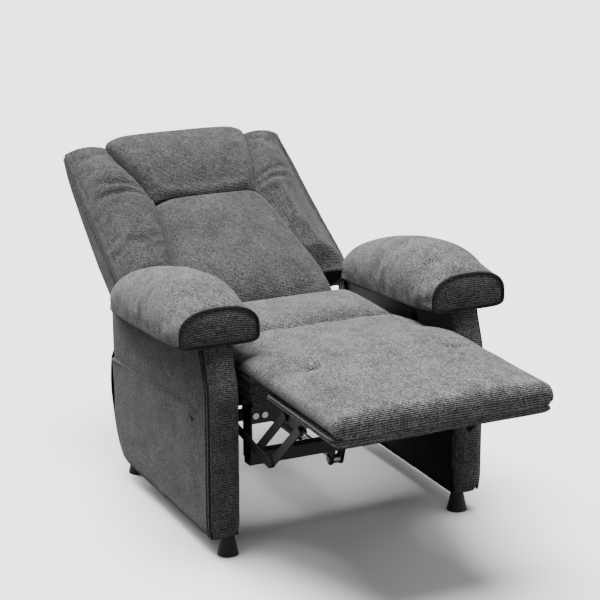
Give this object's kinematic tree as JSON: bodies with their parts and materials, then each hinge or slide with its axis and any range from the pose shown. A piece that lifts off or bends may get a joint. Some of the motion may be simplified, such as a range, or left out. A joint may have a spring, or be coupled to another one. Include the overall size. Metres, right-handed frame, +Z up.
{
  "type": "recliner armchair",
  "caption": "Upholstered recliner armchair with padded arms, a reclining cushioned back and a folding footrest on steel links.",
  "frame": {"origin": "centre of the reclined chair's box, on the floor", "axes": "+Z up, the chair faces -Y, +X to the right as seen from the front view along +Y"},
  "size_m": [0.838, 1.533, 0.788],
  "materials": {
    "pad_fabric": "charcoal chenille weave",
    "side_fabric": "charcoal chenille weave, taut",
    "black_cloth": "thin non-woven lining",
    "wood": "raw plywood and pine",
    "black_steel": "satin black powder coat",
    "bright_steel": "zinc plated",
    "spring_steel": "drawn wire",
    "black_plastic": "moulded, lightly textured",
    "button_plastic": "moulded, satin"
  },
  "bodies": {
    "base": {"side_frame_left": "wood", "side_frame_right": "wood", "side_cover_left": "side_fabric", "side_cover_right": "side_fabric", "arm_front_left": "side_fabric", "arm_front_right": "side_fabric", "inner_lining_left": "black_cloth", "inner_lining_right": "black_cloth", "arm_pad_left": "pad_fabric", "arm_pad_right": "pad_fabric", "foot_front_left": "black_plastic", "foot_front_right": "black_plastic", "foot_rear_left": "black_plastic", "foot_rear_right": "black_plastic", "base_plate_left": "black_steel", "base_plate_right": "black_steel", "rear_rail": "wood", "drive_tube": "black_steel", "rear_dust_cover": "black_cloth", "actuator_motor": "black_plastic", "actuator_sleeve": "black_plastic", "switch_panel": "black_plastic"},
    "back": {"back_post_left": "wood", "back_post_right": "wood", "back_top_rail": "wood", "back_bottom_rail": "wood", "back_bracket_left": "black_steel", "back_bracket_right": "black_steel", "back_cover": "side_fabric", "back_springs": "spring_steel", "head_cushion": "pad_fabric", "lumbar_cushion": "pad_fabric", "wing_left": "pad_fabric", "wing_right": "pad_fabric"},
    "seat": {"seat_rail_left": "black_steel", "seat_rail_right": "black_steel", "seat_frame": "wood", "seat_springs": "spring_steel", "seat_cushion": "pad_fabric", "chaise_cushion": "pad_fabric", "seat_front_panel": "side_fabric", "front_cross_rail": "black_steel", "rail_screws": "bright_steel", "lower_cross_tube": "black_steel"},
    "swing_links": {"swing_link_left": "black_steel", "swing_link_right": "black_steel"},
    "footrest": {"footrest_board": "wood", "footrest_pad": "pad_fabric", "footrest_bracket_left": "black_steel", "footrest_bracket_right": "black_steel"},
    "main_links": {"main_link_left": "black_steel", "main_link_right": "black_steel"},
    "front_links": {"front_links": "black_steel"},
    "rear_links": {"rear_links": "black_steel"},
    "drive_rod": {"actuator_rod": "bright_steel", "clevis_pin": "bright_steel"},
    "button_up": {"button_up": "button_plastic"},
    "button_down": {"button_down": "button_plastic"}
  },
  "joints": [
    {"name": "recline", "type": "hinge", "parent": "base", "child": "back", "pos_m": [0, 0.27148, 0.44], "axis": [1, 0, 0], "range_deg": [0, 38]},
    {"name": "seat_swing", "type": "hinge", "parent": "back", "child": "seat", "pos_m": [0, 0.23892, 0.34545], "axis": [1, 0, 0], "range_deg": [-38, 0]},
    {"name": "front_swing", "type": "hinge", "parent": "base", "child": "swing_links", "pos_m": [0, -0.10852, 0.44], "axis": [1, 0, 0], "range_deg": [0, 38]},
    {"name": "footrest_fold", "type": "hinge", "parent": "seat", "child": "footrest", "pos_m": [0, -0.36352, 0.463], "axis": [1, 0, 0], "range_deg": [0, 90]},
    {"name": "main_link_fold", "type": "hinge", "parent": "seat", "child": "main_links", "pos_m": [0, -0.23552, 0.296], "axis": [1, 0, 0], "range_deg": [0, 90]},
    {"name": "front_link_fold", "type": "hinge", "parent": "main_links", "child": "front_links", "pos_m": [0, -0.43452, 0.265], "axis": [1, 0, 0], "range_deg": [-111.4, 0]},
    {"name": "rear_link_fold", "type": "hinge", "parent": "main_links", "child": "rear_links", "pos_m": [0, -0.36402, 0.276], "axis": [1, 0, 0], "range_deg": [-111.4, 0]},
    {"name": "drive_stroke", "type": "slide", "parent": "base", "child": "drive_rod", "axis": [0, 1, 0], "range_m": [0, 0.0652]},
    {"name": "button_up_press", "type": "slide", "parent": "base", "child": "button_up", "axis": [-1, 0, 0], "range_m": [0, 0.002], "stiffness_N_per_m": 400},
    {"name": "button_down_press", "type": "slide", "parent": "base", "child": "button_down", "axis": [-1, 0, 0], "range_m": [0, 0.002], "stiffness_N_per_m": 400}
  ],
  "couplings": [
    {"joint": "seat_swing", "follows": "recline", "ratio": -1},
    {"joint": "front_swing", "follows": "recline", "ratio": 1},
    {"joint": "drive_stroke", "follows": "recline", "m_per_rad": 0.09818},
    {"joint": "main_link_fold", "follows": "footrest_fold", "ratio": 1},
    {"joint": "front_link_fold", "follows": "footrest_fold", "ratio": -1.2378},
    {"joint": "rear_link_fold", "follows": "footrest_fold", "ratio": -1.2378}
  ]
}
